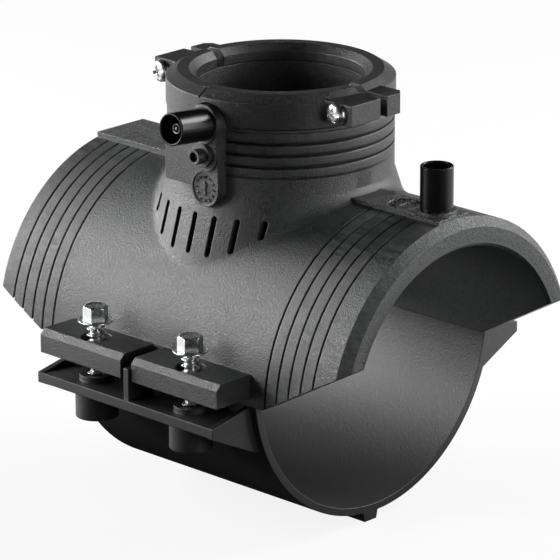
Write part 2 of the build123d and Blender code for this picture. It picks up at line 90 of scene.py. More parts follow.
# ---------------------------------------------------------------------------
# Mesh helpers
# ---------------------------------------------------------------------------
def mesh_from_arrays(name: str, verts: np.ndarray, quads: np.ndarray, tris: np.ndarray) -> bpy.types.Object:
    """Puts arrays of corners and faces into a new object at the origin.

    Args:
        name: name of the object.
        verts: (n, 3) corners in millimetres.
        quads: (m, 4) corner numbers.
        tris: (k, 3) corner numbers.

    Returns:
        The new object, linked to the scene.
    """
    mesh = bpy.data.meshes.new(name)
    mesh.vertices.add(len(verts))
    mesh.vertices.foreach_set("co", (verts * MM).astype(np.float32).ravel())
    loops = np.concatenate([quads.ravel(), tris.ravel()]).astype(np.int32)
    sizes = np.concatenate([np.full(len(quads), 4), np.full(len(tris), 3)]).astype(np.int32)
    mesh.loops.add(len(loops))
    mesh.loops.foreach_set("vertex_index", loops)
    mesh.polygons.add(len(sizes))
    mesh.polygons.foreach_set("loop_start", np.concatenate([[0], np.cumsum(sizes)[:-1]]).astype(np.int32))
    mesh.polygons.foreach_set("loop_total", sizes)
    mesh.update(calc_edges=True)
    mesh.validate()
    obj = bpy.data.objects.new(name, mesh)
    bpy.context.scene.collection.objects.link(obj)
    return obj


def wrapped_grid(name: str, points: np.ndarray) -> bpy.types.Object:
    """A closed skin from rings of points, with a fan of triangles over the first and last ring.

    Args:
        name: name of the object.
        points: (rings, around, 3) in millimetres; rings run from the top down and each ring
            runs counter-clockwise seen from above.

    Returns:
        The new object.
    """
    rings, around, _ = points.shape
    ring = np.arange(rings - 1)[:, None] * around
    step = np.arange(around)[None, :]
    after = (step + 1) % around
    quads = np.stack([
        ring + step, ring + around + step, ring + around + after, ring + after], -1).reshape(-1, 4)
    verts = np.concatenate([points.reshape(-1, 3), points[0].mean(0)[None], points[-1].mean(0)[None]])
    top, bottom = rings * around, rings * around + 1
    last = (rings - 1) * around
    head = np.stack([np.full(around, top), step[0], after[0]], -1)
    foot = np.stack([np.full(around, bottom), last + after[0], last + step[0]], -1)
    return mesh_from_arrays(name, verts, quads, np.concatenate([head, foot]))


def placed(obj: bpy.types.Object, matrix: Matrix) -> bpy.types.Object:
    """Puts the object's place into its mesh, so that the object itself stays at the origin.

    Args:
        obj: the object, with its mesh about its own origin.
        matrix: where it goes, in metres.

    Returns:
        The same object.
    """
    obj.data.transform(matrix)
    obj.data.update()
    return obj


def smooth_by_angle() -> bpy.types.NodeTree:
    """Node group that merges doubled corners and shades smooth across edges flatter than an angle.

    Returns:
        The geometry group, with the angle as an input.
    """
    tree = bpy.data.node_groups.new("smooth_by_angle", "GeometryNodeTree")
    tree.interface.new_socket("Geometry", in_out="INPUT", socket_type="NodeSocketGeometry")
    limit = tree.interface.new_socket("Angle", in_out="INPUT", socket_type="NodeSocketFloat")
    limit.default_value = radians(30)
    tree.interface.new_socket("Geometry", in_out="OUTPUT", socket_type="NodeSocketGeometry")
    new = tree.nodes.new
    source, sink = new("NodeGroupInput"), new("NodeGroupOutput")
    merge = new("GeometryNodeMergeByDistance")
    merge.inputs["Distance"].default_value = 2e-6
    angle = new("GeometryNodeInputMeshEdgeAngle")
    flat = new("FunctionNodeCompare")
    flat.operation = "LESS_THAN"
    faces, edges = new("GeometryNodeSetShadeSmooth"), new("GeometryNodeSetShadeSmooth")
    edges.domain = "EDGE"
    link = tree.links.new
    link(source.outputs["Geometry"], merge.inputs["Geometry"])
    link(angle.outputs["Unsigned Angle"], flat.inputs[0])
    link(source.outputs["Angle"], flat.inputs[1])
    link(merge.outputs["Geometry"], faces.inputs["Geometry"])
    link(faces.outputs["Geometry"], edges.inputs["Geometry"])
    link(flat.outputs["Result"], edges.inputs["Shade Smooth"])
    link(edges.outputs["Geometry"], sink.inputs["Geometry"])
    return tree


SMOOTH = smooth_by_angle()


def shade(obj: bpy.types.Object) -> None:
    """Gives the object smooth shading that keeps its crisp edges.

    Args:
        obj: the object to shade.
    """
    modifier = obj.modifiers.new("smooth by angle", "NODES")
    modifier.node_group = SMOOTH


def dress(obj: bpy.types.Object, material: bpy.types.Material) -> None:
    """Gives every face of the object one material and shades it.

    Args:
        obj: a new piece or a CAD node.
        material: its finish.
    """
    obj.data.materials.clear()
    obj.data.materials.append(material)
    shade(obj)


# ---------------------------------------------------------------------------
# Finishes
# ---------------------------------------------------------------------------
def grain_group() -> bpy.types.NodeTree:
    """Shader group for a moulded surface: a spark-eroded grain of specks and noise, and wide clouding.

    Height is noise + 0.6 speck, and tint is 0.5 + contrast * (noise + 0.5 speck - 0.75), where a
    speck is one random value for each small cell.

    Returns:
        The group, with the height for a bump, the tint and the wide cloud.
    """
    tree = bpy.data.node_groups.new("moulded_grain", "ShaderNodeTree")
    for name, kind, value in (
        ("Vector", "NodeSocketVector", None), ("Grain Scale", "NodeSocketFloat", 1500.0),
        ("Cloud Scale", "NodeSocketFloat", 60.0), ("Grain Contrast", "NodeSocketFloat", 0.5),
    ):
        socket = tree.interface.new_socket(name, in_out="INPUT", socket_type=kind)
        if value is not None:
            socket.default_value = value
    for name in ("Height", "Tint", "Cloud"):
        tree.interface.new_socket(name, in_out="OUTPUT", socket_type="NodeSocketFloat")
    new, link = tree.nodes.new, tree.links.new
    source, sink = new("NodeGroupInput"), new("NodeGroupOutput")
    fine, pits, cloud = new("ShaderNodeTexNoise"), new("ShaderNodeTexVoronoi"), new("ShaderNodeTexNoise")
    fine.inputs["Detail"].default_value = 3.0
    fine.inputs["Roughness"].default_value = 0.65
    cloud.inputs["Detail"].default_value = 2.0
    for node, scale in ((fine, "Grain Scale"), (pits, "Grain Scale"), (cloud, "Cloud Scale")):
        link(source.outputs["Vector"], node.inputs["Vector"])
        link(source.outputs[scale], node.inputs["Scale"])
    speck, height, share = new("ShaderNodeSeparateColor"), new("ShaderNodeMath"), new("ShaderNodeMath")
    link(pits.outputs["Color"], speck.inputs["Color"])
    height.operation = share.operation = "MULTIPLY_ADD"
    height.inputs[1].default_value = 0.6
    link(speck.outputs["Red"], height.inputs[0])
    link(fine.outputs["Fac"], height.inputs[2])
    centred = new("ShaderNodeMath")
    centred.operation = "SUBTRACT"
    centred.inputs[1].default_value = 0.75
    share.inputs[1].default_value = 0.5
    link(speck.outputs["Red"], share.inputs[0])
    link(fine.outputs["Fac"], share.inputs[2])
    link(share.outputs[0], centred.inputs[0])
    tint = new("ShaderNodeMath")
    tint.operation = "MULTIPLY_ADD"
    tint.inputs[2].default_value = 0.5
    link(centred.outputs[0], tint.inputs[0])
    link(source.outputs["Grain Contrast"], tint.inputs[1])
    link(height.outputs[0], sink.inputs["Height"])
    link(tint.outputs[0], sink.inputs["Tint"])
    link(cloud.outputs["Fac"], sink.inputs["Cloud"])
    return tree


GRAIN = grain_group()


@dataclass(frozen=True)
class Zones:
    """Where the saddle's finish changes. Each pair is the start and end of a soft step, in metres."""

    seat: tuple[float, float] = (0.0576, 0.0572)
    shell: tuple[float, float] = (0.0580, 0.0600)
    grooved: tuple[float, float] = (0.0545, 0.056)
    crown_height: tuple[float, float] = (0.0660, 0.0663)
    crown_start: tuple[float, float] = (0.050, 0.052)
    bead_pitch: tuple[float, float] = (0.080, 0.0845)
    bead_foot: tuple[float, float] = (0.0755, 0.0757)
    bead_top: tuple[float, float] = (0.0935, 0.0933)
    socket_inside: tuple[float, float] = (0.0405, 0.0410)
    socket_outside: tuple[float, float] = (0.0434, 0.0432)
    streak_scale: tuple[float, float, float] = (90.0, 520.0, 520.0)
    streak_share: tuple[float, float] = (0.38, 0.66)


def zone_group(zone: Zones) -> bpy.types.NodeTree:
    """Shader group for the saddle: scuff streaks with painted sheen at the ends, polished crown, socket
    beads and plain seat.

    The scuff streaks are a noise drawn out along X, kept outside the shell where |x| is past the first
    groove; the pale colour set by this mask is partly scuffing and partly painted sheen, lightening the
    grooved ends as if they caught the light. The crown is where |x| is past the socket and z is over the
    shell. The seat is what is nearer the main's axis than the shell's middle. A bead's height is 1 - (2u -
    1)^4, where u runs from 0 to 1 between two grooves of the socket, and it is kept on the socket's
    outside.

    Args:
        zone: where each zone starts and ends.

    Returns:
        The group, with a mask from 0 to 1 for each zone.
    """
    tree = bpy.data.node_groups.new("saddle_zones", "ShaderNodeTree")
    tree.interface.new_socket("Vector", in_out="INPUT", socket_type="NodeSocketVector")
    for name in ("Scuff Sheen", "Crown", "Bead", "Seat"):
        tree.interface.new_socket(name, in_out="OUTPUT", socket_type="NodeSocketFloat")
    new, link = tree.nodes.new, tree.links.new
    source, sink = new("NodeGroupInput"), new("NodeGroupOutput")
    split, along = new("ShaderNodeSeparateXYZ"), new("ShaderNodeMath")
    along.operation = "ABSOLUTE"
    link(source.outputs["Vector"], split.inputs["Vector"])
    link(split.outputs["X"], along.inputs[0])

    def beyond(value: bpy.types.NodeSocket, start: float, end: float) -> bpy.types.NodeSocket:
        """A soft step from 0 at start to 1 at end.

        Args:
            value: what is measured.
            start: where the step is 0.
            end: where the step is 1, which may be below start.

        Returns:
            The step's value.
        """
        step = new("ShaderNodeMapRange")
        step.inputs["From Min"].default_value, step.inputs["From Max"].default_value = start, end
        link(value, step.inputs["Value"])
        return step.outputs["Result"]

    def times(first: bpy.types.NodeSocket, second: bpy.types.NodeSocket) -> bpy.types.NodeSocket:
        """The product of two values.

        Args:
            first: one value.
            second: the other.

        Returns:
            Their product.
        """
        product = new("ShaderNodeMath")
        product.operation = "MULTIPLY"
        link(first, product.inputs[0])
        link(second, product.inputs[1])
        return product.outputs[0]

    drawn, streaks = new("ShaderNodeMapping"), new("ShaderNodeTexNoise")
    drawn.inputs["Scale"].default_value = zone.streak_scale
    streaks.inputs["Scale"].default_value = 1.0
    streaks.inputs["Detail"].default_value = 3.0
    link(source.outputs["Vector"], drawn.inputs["Vector"])
    link(drawn.outputs["Vector"], streaks.inputs["Vector"])
    around, girth = new("ShaderNodeCombineXYZ"), new("ShaderNodeVectorMath")
    girth.operation = "LENGTH"
    for axis in ("Y", "Z"):
        link(split.outputs[axis], around.inputs[axis])
    link(around.outputs["Vector"], girth.inputs[0])
    link(beyond(girth.outputs["Value"], *zone.seat), sink.inputs["Seat"])
    # Mask of the scuff streaks on the grooved ends; it roughens them and carries their painted sheen.
    scuff_sheen = times(beyond(girth.outputs["Value"], *zone.shell), times(
        beyond(streaks.outputs["Fac"], *zone.streak_share), beyond(along.outputs[0], *zone.grooved)))
    link(scuff_sheen, sink.inputs["Scuff Sheen"])
    flat, reach = new("ShaderNodeCombineXYZ"), new("ShaderNodeVectorMath")
    reach.operation = "LENGTH"
    for axis in ("X", "Y"):
        link(split.outputs[axis], flat.inputs[axis])
    link(flat.outputs["Vector"], reach.inputs[0])
    turn, swing = new("ShaderNodeMapRange"), new("ShaderNodeMath")
    turn.clamp = False
    turn.inputs["From Min"].default_value, turn.inputs["From Max"].default_value = zone.bead_pitch
    link(split.outputs["Z"], turn.inputs["Value"])
    swing.operation = "PINGPONG"
    swing.inputs[1].default_value = 0.5
    link(turn.outputs["Result"], swing.inputs[0])
    fall, flank = new("ShaderNodeMapRange"), new("ShaderNodeMath")
    fall.inputs["From Max"].default_value = 0.5
    fall.inputs["To Min"].default_value, fall.inputs["To Max"].default_value = 1.0, 0.0
    link(swing.outputs[0], fall.inputs["Value"])
    flank.operation = "POWER"
    flank.inputs[1].default_value = 4.0
    link(fall.outputs["Result"], flank.inputs[0])
    rise = beyond(flank.outputs[0], 1.0, 0.0)
    height, radius = split.outputs["Z"], reach.outputs["Value"]
    band = times(beyond(height, *zone.bead_foot), beyond(height, *zone.bead_top))
    skin = times(beyond(radius, *zone.socket_inside), beyond(radius, *zone.socket_outside))
    link(times(rise, times(band, skin)), sink.inputs["Bead"])
    crown = times(beyond(height, *zone.crown_height), beyond(along.outputs[0], *zone.crown_start))
    link(crown, sink.inputs["Crown"])
    return tree


ZONES = zone_group(Zones())


@dataclass(frozen=True)
class Plastic:
    """Black polyethylene as it leaves the mould."""

    name: str
    dark: tuple[float, float, float] = (0.002, 0.002, 0.002)
    light: tuple[float, float, float] = (0.020, 0.024, 0.025)
    roughness: tuple[float, float] = (0.37, 0.53)
    specular: float = 1.0
    grain_scale: float = 1550.0
    cloud_scale: float = 60.0
    contrast: float = 3.4
    bump: float = 1.0
    depth: float = 0.00030
    edge: float = 0.0005
    clouding: float = 0.03
    # Adds the saddle's zones: rougher scuff streaks with painted sheen, a smoother crown, a plain seat and
    # socket beads.
    worn_with_sheen: bool = False

    def build(self) -> bpy.types.Material:
        """Makes the material.

        Returns:
            A material whose colour, roughness and bump follow the moulded grain.
        """
        material = bpy.data.materials.new(self.name)
        material.use_nodes = True
        tree = material.node_tree
        new, link = tree.nodes.new, tree.links.new
        shader = tree.nodes["Principled BSDF"]
        shader.inputs["Specular IOR Level"].default_value = self.specular
        place, grain = new("ShaderNodeTexCoord"), new("ShaderNodeGroup")
        grain.node_tree = GRAIN
        grain.inputs["Grain Scale"].default_value = self.grain_scale
        grain.inputs["Cloud Scale"].default_value = self.cloud_scale
        grain.inputs["Grain Contrast"].default_value = self.contrast
        link(place.outputs["Object"], grain.inputs["Vector"])
        colour = new("ShaderNodeMix")
        colour.data_type = "RGBA"
        colour.inputs["A"].default_value = (*self.dark, 1)
        colour.inputs["B"].default_value = (*self.light, 1)
        link(grain.outputs["Tint"], colour.inputs["Factor"])
        link(colour.outputs["Result"], shader.inputs["Base Color"])
        rough = new("ShaderNodeMapRange")
        rough.inputs["To Min"].default_value, rough.inputs["To Max"].default_value = self.roughness
        link(grain.outputs["Tint"], rough.inputs["Value"])
        cloudy = new("ShaderNodeMath")
        cloudy.operation = "MULTIPLY_ADD"
        cloudy.inputs[1].default_value = self.clouding
        link(grain.outputs["Cloud"], cloudy.inputs[0])
        link(rough.outputs["Result"], cloudy.inputs[2])
        last = cloudy.outputs[0]
        if self.worn_with_sheen:
            zones = new("ShaderNodeGroup")
            zones.node_tree = ZONES
            link(place.outputs["Object"], zones.inputs["Vector"])
            for name, share in WORN_SHIFTS:
                shift = new("ShaderNodeMath")
                shift.operation = "MULTIPLY_ADD"
                shift.inputs[1].default_value = share
                link(zones.outputs[name], shift.inputs[0])
                link(last, shift.inputs[2])
                last = shift.outputs[0]
            plain = new("ShaderNodeMix")
            link(zones.outputs["Seat"], plain.inputs["Factor"])
            link(last, plain.inputs["A"])
            plain.inputs["B"].default_value = SEAT_ROUGHNESS
            last = plain.outputs["Result"]
            # Painted sheen: the scuff streak mask lightens the base colour on the grooved ends.
            pale = new("ShaderNodeMix")
            pale.data_type = "RGBA"
            pale.inputs["B"].default_value = SCUFF_SHEEN_COLOUR
            link(zones.outputs["Scuff Sheen"], pale.inputs["Factor"])
            link(colour.outputs["Result"], pale.inputs["A"])
            link(pale.outputs["Result"], shader.inputs["Base Color"])
        link(last, shader.inputs["Roughness"])
        edge, bump = new("ShaderNodeBevel"), new("ShaderNodeBump")
        edge.samples = EDGE_SAMPLES
        edge.inputs["Radius"].default_value = self.edge
        bump.inputs["Strength"].default_value = self.bump
        bump.inputs["Distance"].default_value = self.depth
        if self.worn_with_sheen:
            bead, grained = new("ShaderNodeBump"), new("ShaderNodeMix")
            link(zones.outputs["Seat"], grained.inputs["Factor"])
            link(grain.outputs["Height"], grained.inputs["A"])
            grained.inputs["B"].default_value = SEAT_HEIGHT
            link(grained.outputs["Result"], bump.inputs["Height"])
            bead.inputs["Distance"].default_value = BEAD_HEIGHT
            link(zones.outputs["Bead"], bead.inputs["Height"])
            link(edge.outputs["Normal"], bead.inputs["Normal"])
            link(bead.outputs["Normal"], bump.inputs["Normal"])
        else:
            link(grain.outputs["Height"], bump.inputs["Height"])
            link(edge.outputs["Normal"], bump.inputs["Normal"])
        link(bump.outputs["Normal"], shader.inputs["Normal"])
        return material


@dataclass(frozen=True)
class Metal:
    """Plated or bare metal of the small hardware."""

    name: str
    colour: tuple[float, float, float] = (0.95, 0.96, 0.96)
    shade: tuple[float, float, float] = (0.80, 0.81, 0.83)
    roughness: tuple[float, float] = (0.20, 0.36)
    mottle: float = 900.0
    edge: float = 0.0002

    def build(self) -> bpy.types.Material:
        """Makes the material.

        Returns:
            A metal whose colour and roughness vary a little from place to place.
        """
        material = bpy.data.materials.new(self.name)
        material.use_nodes = True
        tree = material.node_tree
        new, link = tree.nodes.new, tree.links.new
        shader = tree.nodes["Principled BSDF"]
        shader.inputs["Metallic"].default_value = 1.0
        place, spots = new("ShaderNodeTexCoord"), new("ShaderNodeTexNoise")
        spots.inputs["Scale"].default_value = self.mottle
        spots.inputs["Detail"].default_value = 3.0
        link(place.outputs["Object"], spots.inputs["Vector"])
        colour = new("ShaderNodeMix")
        colour.data_type = "RGBA"
        colour.inputs["A"].default_value = (*self.shade, 1)
        colour.inputs["B"].default_value = (*self.colour, 1)
        link(spots.outputs["Fac"], colour.inputs["Factor"])
        link(colour.outputs["Result"], shader.inputs["Base Color"])
        rough = new("ShaderNodeMapRange")
        rough.inputs["To Min"].default_value, rough.inputs["To Max"].default_value = self.roughness
        link(spots.outputs["Fac"], rough.inputs["Value"])
        link(rough.outputs["Result"], shader.inputs["Roughness"])
        edge = new("ShaderNodeBevel")
        edge.samples = EDGE_SAMPLES
        edge.inputs["Radius"].default_value = self.edge
        link(edge.outputs["Normal"], shader.inputs["Normal"])
        return material


@dataclass(frozen=True)
class Finishes:
    """Every finish on the fitting, built once."""

    grained: bpy.types.Material = field(default_factory=lambda: Plastic(
        "pe_spark_grained", worn_with_sheen=True).build())
    ring: bpy.types.Material = field(default_factory=lambda: Plastic(
        "pe_ring_grained", light=(0.006, 0.007, 0.007), grain_scale=1250.0, contrast=2.6,
        depth=0.00014).build())
    satin: bpy.types.Material = field(default_factory=lambda: Plastic(
        "pe_satin", light=(0.010, 0.011, 0.011), roughness=(0.42, 0.50), grain_scale=1800.0,
        cloud_scale=35.0, contrast=0.8, bump=0.3, clouding=0.06).build())
    gloss: bpy.types.Material = field(default_factory=lambda: Plastic(
        "shroud_gloss", dark=(0.002, 0.002, 0.002), light=(0.006, 0.006, 0.006), roughness=(0.20, 0.26),
        specular=0.36, grain_scale=900.0, contrast=0.6, bump=0.04, edge=0.0004).build())
    zinc: bpy.types.Material = field(default_factory=lambda: Metal("zinc_plate").build())
    brass: bpy.types.Material = field(default_factory=lambda: Metal(
        "pin_brass", colour=(0.36, 0.34, 0.29), shade=(0.22, 0.21, 0.18)).build())
    wire: bpy.types.Material = field(default_factory=lambda: Metal(
        "heating_wire", colour=(0.72, 0.45, 0.30), shade=(0.55, 0.33, 0.22)).build())


# ---------------------------------------------------------------------------
# Saddle moulding
# ---------------------------------------------------------------------------
@dataclass
class DateDial:
    """A raised month clock with its arrow, on a round recess."""

    name: str
    centre: tuple[float, float, float]
    side: Side
    ring_radius: float = 4.5
    figure_size: float = 1.85
    figure_rise: float = 0.5
    arrow_length: float = 5.8
    arrow_width: float = 0.85

    def place(self) -> Matrix:
        """Matrix from the dial's own plane to its seat on the moulding.

        Returns:
            The matrix, in metres.
        """
        turn = Matrix.Rotation(radians(90), 4, "X") if self.side is Side.FRONT else Matrix.Identity(4)
        return Matrix.Translation(Vector(self.centre) * MM) @ turn

    def figure(self, month: int) -> bpy.types.Object:
        """One month's figure as a mesh, upright and centred on its place in the ring.

        Args:
            month: the number, 1 to 12.

        Returns:
            The figure as an object at the origin.
        """
        curve = bpy.data.curves.new(f"{self.name}_{month}", "FONT")
        curve.body = str(month)
        curve.size = self.figure_size * MM
        curve.extrude = self.figure_rise * MM / 2
        curve.align_x = curve.align_y = "CENTER"
        curve.resolution_u = 2
        made = bpy.data.objects.new("figure", curve)
        bpy.context.scene.collection.objects.link(made)
        bpy.context.view_layer.update()
        mesh = bpy.data.meshes.new_from_object(made.evaluated_get(bpy.context.evaluated_depsgraph_get()))
        bpy.data.objects.remove(made)
        turn = -tau * month / 12
        ring = self.ring_radius * MM
        seat = Matrix.Translation((-sin(turn) * ring, cos(turn) * ring, 0))
        mesh.transform(seat @ Matrix.Rotation(turn, 4, "Z"))
        obj = bpy.data.objects.new(f"{self.name}_{month}", mesh)
        bpy.context.scene.collection.objects.link(obj)
        return obj

    def arrow(self) -> bpy.types.Object:
        """The raised arrow: a thin bar with a triangular head, as one prism.

        Returns:
            The arrow as an object at the origin.
        """
        half, width = self.arrow_length / 2, self.arrow_width / 2
        flat = np.array([
            [-width, -half], [width, -half], [width, half * 0.35], [2.4 * width, half * 0.35], [0, half],
            [-2.4 * width, half * 0.35], [-width, half * 0.35]])
        count = len(flat)
        low = np.column_stack([flat, np.full(count, -self.figure_rise / 2)])
        high = np.column_stack([flat, np.full(count, self.figure_rise / 2)])
        step = np.arange(count)
        after = (step + 1) % count
        sides = np.stack([step, after, after + count, step + count], -1)
        faces = [tuple(q) for q in sides] + [tuple(step[::-1]), tuple(step + count)]
        mesh = bpy.data.meshes.new(f"{self.name}_arrow")
        mesh.from_pydata((np.concatenate([low, high]) * MM).tolist(), [], faces)
        obj = bpy.data.objects.new(f"{self.name}_arrow", mesh)
        bpy.context.scene.collection.objects.link(obj)
        return obj

    def build(self, finishes: Finishes) -> None:
        """Makes the figures and the arrow as one piece on the moulding.

        Args:
            finishes: the fitting's finishes.
        """
        parts = [self.figure(month) for month in range(1, 13)] + [self.arrow()]
        with bpy.context.temp_override(active_object=parts[0], selected_editable_objects=parts):
            bpy.ops.object.join()
        dial = parts[0]
        dial.name = self.name
        placed(dial, self.place())
        dress(dial, finishes.grained)
        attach(dial, "saddle")
        log.info("date dial %s", self.name)


@dataclass
class SaddleMoulding:
    """The upper moulding with its two date dials."""

    node: str = "saddle_body"
    front_dial: tuple[float, float, float] = (4.5, -45.24, 70.2)
    crown_dial: tuple[float, float, float] = (63.0, 0.0, 66.44)

    def build(self, finishes: Finishes) -> None:
        """Dresses the moulding and adds the dials.

        Args:
            finishes: the fitting's finishes.
        """
        dress(NODES[self.node], finishes.grained)
        DateDial("dial_front", self.front_dial, Side.FRONT).build(finishes)
        DateDial("dial_crown", self.crown_dial, Side.UP).build(finishes)
        log.info("saddle moulding dressed")


@dataclass
class LowerClamp:
    """The thin lower shell with its ears."""

    node: str = "lower_clamp"

    def build(self, finishes: Finishes) -> None:
        """Dresses the lower shell.

        Args:
            finishes: the fitting's finishes.
        """
        dress(NODES[self.node], finishes.satin)
        log.info("lower clamp dressed")


# ---------------------------------------------------------------------------
# Screws
# ---------------------------------------------------------------------------
@dataclass
class ThreadedShank:
    """A coarse thread rolled on a plain core, pointing down from z = 0."""

    core: float
    crest: float
    pitch: float
    length: float
    tip: float
    around: int = 48
    rows_per_turn: int = 16

    def rings(self) -> np.ndarray:
        """Rings of the shank from the top down.

        A point's radius is the core's plus the thread's height times a triangle wave of
        (height over pitch plus angle over a full turn). The wave is narrow, as on a
        thread-forming screw, and both it and the core fade to the tip.

        Returns:
            (rings, around, 3) points in millimetres.
        """
        rows = int(self.length / self.pitch * self.rows_per_turn)
        depth = np.linspace(0, self.length, rows)[:, None]
        angle = np.linspace(0, tau, self.around, endpoint=False)[None, :]
        phase = np.mod(depth / self.pitch + angle / tau, 1.0)
        wave = np.clip(1 - np.abs(phase - 0.5) / 0.30, 0, 1)
        fade = np.clip((self.length - depth) / self.tip, 0.02, 1)
        radius = (self.core + (self.crest - self.core) * wave) * fade**0.6
        return np.stack([radius * np.cos(angle), radius * np.sin(angle), -depth + 0 * angle], -1)


@dataclass
class HexScrew:
    """Thread-forming screw with a flanged hexagon head, seat plane at z = 0."""

    flange_radius: float = 6.58
    flange_rise: float = 1.0
    neck_radius: float = 5.0
    across_flats: float = 8.4
    height: float = 6.78
    dish: float = 0.3
    thread: ThreadedShank = field(default_factory=lambda: ThreadedShank(2.25, 3.48, 2.5, 27.9, 3.0))
    around: int = 72

    def head_rings(self) -> np.ndarray:
        """Rings of the head from the top down.

        Below the chamfer a ring's radius is the hexagon's: half the width across flats over
        the cosine of the angle from the nearest flat's middle. At the top the ring is the
        smaller of that and a cone, and the flange is a plain turned profile.

        Returns:
            (rings, around, 3) points in millimetres.
        """
        angle = np.linspace(0, tau, self.around, endpoint=False)
        flat = np.mod(angle + tau / 12, tau / 6) - tau / 12
        hexagon = self.across_flats / 2 / np.cos(flat)
        top, rim, flange = self.height, self.flange_rise, self.flange_radius
        corner = self.across_flats / 2 / cos(tau / 12)
        cone = [(0.0, 0.78), (0.12, 0.84), (0.3, 0.90), (0.5, 0.96), (0.75, 1.01)]
        turned = [
            (rim + 0.04, self.neck_radius), (rim + 0.02, 0.93 * flange), (rim + 0.16, 0.965 * flange),
            (rim + 0.14, 0.99 * flange), (rim, flange), (rim - 0.25, flange), (rim - 0.42, 0.98 * flange),
            (0.12, 0.74 * flange), (0.0, 0.70 * flange), (0.0, self.thread.core)]
        rows = [(top - self.dish, 0.52 * corner), (top - self.dish, 0.56 * corner), (top, 0.70 * corner)]
        rows += [(top - drop, np.minimum(hexagon, share * corner)) for drop, share in cone]
        rows += [((top + rim) / 2, hexagon), (rim + 0.35, hexagon), (rim + 0.12, hexagon + 0.12)]
        rows = [(z, radius + 0 * angle) for z, radius in rows + turned]
        return np.stack([
            np.stack([radius * np.cos(angle), radius * np.sin(angle), np.full_like(angle, z)], -1)
            for z, radius in rows])

    def build(self, node: str, spin: float, finishes: Finishes) -> None:
        """Makes one screw in place of its plain CAD node.

        Args:
            node: the CAD node, which is also the name of its body.
            spin: the head's turn about its axis, in degrees.
            finishes: the fitting's finishes.
        """
        low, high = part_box(node)
        centre = (low + high) / 2
        seat = high.z - self.height * MM
        turn = Matrix.Translation((centre.x, centre.y, seat)) @ Matrix.Rotation(radians(spin), 4, "Z")
        head = placed(wrapped_grid(f"{node}_head", self.head_rings()), turn)
        shank = placed(wrapped_grid(f"{node}_thread", self.thread.rings()), turn)
        for piece in (head, shank):
            dress(piece, finishes.zinc)
            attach(piece, node)
            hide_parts(node)
        log.info("hexagon screw %s", node)


@dataclass
class PanScrew:
    """Machine screw with a domed head and a cross recess, seat plane at z = 0."""

    head_radius: float = 4.35
    height: float = 2.78
    recess_reach: float = 2.75
    recess_width: float = 0.6
    recess_depth: float = 1.6
    thread: ThreadedShank = field(default_factory=lambda: ThreadedShank(1.55, 2.0, 1.1, 27.5, 1.5, 32, 10))
    around: int = 96
    spin_left: float = 20.0
    spin_right: float = 8.0

    def head_rings(self) -> np.ndarray:
        """Rings of the head from the top down.

        The dome's height falls as a quarter of an ellipse from the middle to the rim. The
        recess lowers a point by its depth wherever the smaller of |x| and |y| is less than
        half the slot and the larger is less than the reach, with steep, soft walls.

        Returns:
            (rings, around, 3) points in millimetres.
        """
        angle = np.linspace(0, tau, self.around, endpoint=False)[None, :]
        radius = (self.head_radius * np.linspace(0.02, 1, 44) ** 0.9)[:, None]
        x, y = radius * np.cos(angle), radius * np.sin(angle)
        dome = self.height * (0.25 + 0.75 * np.sqrt(np.clip(1 - (radius / self.head_radius) ** 2.4, 0, 1)))
        near, far = np.minimum(np.abs(x), np.abs(y)), np.maximum(np.abs(x), np.abs(y))
        across = np.clip((self.recess_width - near) / 0.12, 0, 1)
        along = np.clip((self.recess_reach - far) / 0.9, 0, 1)
        z = dome + 0 * angle - self.recess_depth * across * along
        cap = np.stack([x, y, z], -1)
        rim = np.stack([cap[-1, :, 0], cap[-1, :, 1], np.full(self.around, 0.0)], -1)
        under = rim * np.array([self.thread.core / self.head_radius] * 2 + [0])
        return np.concatenate([cap, rim[None], under[None]])

    def build(self, node: str, hand: Hand, finishes: Finishes) -> None:
        """Makes one screw in place of its plain CAD node, its head towards the front.

        Args:
            node: the CAD node.
            hand: the ring's end, which sets how far the recess has been turned.
            finishes: the fitting's finishes.
        """
        low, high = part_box(node)
        seat = low.y + self.height * MM
        spin = self.spin_left if hand is Hand.LEFT else self.spin_right
        place = Matrix.Translation(((low.x + high.x) / 2, seat, (low.z + high.z) / 2))
        turn = place @ Matrix.Rotation(radians(90), 4, "X") @ Matrix.Rotation(radians(spin), 4, "Z")
        head = placed(wrapped_grid(f"{node}_head", self.head_rings()), turn)
        shank = placed(wrapped_grid(f"{node}_thread", self.thread.rings()), turn)
        for piece in (head, shank):
            dress(piece, finishes.zinc)
            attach(piece, "ring_front")
            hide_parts(node)
        log.info("pan-head screw %s", node)


@dataclass
class RingClamp:
    """The two-part ring round the socket's mouth, with its screws."""

    halves: tuple[str, str] = ("clamp_ring_front", "clamp_ring_rear")
    screw: PanScrew = field(default_factory=PanScrew)

    def build(self, finishes: Finishes) -> None:
        """Dresses the halves and makes the screws.

        Args:
            finishes: the fitting's finishes.
        """
        for node in self.halves:
            dress(NODES[node], finishes.ring)
            log.info("ring half %s dressed", node)
        for hand in Hand:
            self.screw.build(f"ring_screw_{hand.value}", hand, finishes)


# ---------------------------------------------------------------------------
# Electrical parts
# ---------------------------------------------------------------------------
@dataclass
class TurnedPin:
    """A small turned piece whose profile is (height, radius) pairs from its tip down, along +Z."""

    node: str
    body: str
    slot: str
    axis: tuple[float, float, float]
    profile: tuple[tuple[float, float], ...]
    around: int = 48

    def build(self, material: bpy.types.Material) -> None:
        """Makes the piece in place of its plain CAD node, with height 0 at the node's middle.

        Args:
            material: the finish of the whole piece.
        """
        angle = np.linspace(0, tau, self.around, endpoint=False)
        rings = np.stack([
            np.stack([radius * np.cos(angle), radius * np.sin(angle), height + 0 * angle], -1)
            for height, radius in self.profile])
        low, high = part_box(self.node)
        turn = Vector(self.axis).to_track_quat("Z", "Y").to_matrix().to_4x4()
        middle = Matrix.Translation((low + high) / 2)
        piece = placed(wrapped_grid(f"{self.node}_turned", rings), middle @ turn)
        dress(piece, material)
        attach(piece, self.body)
        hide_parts(self.node)
        log.info("turned pin %s", self.node)


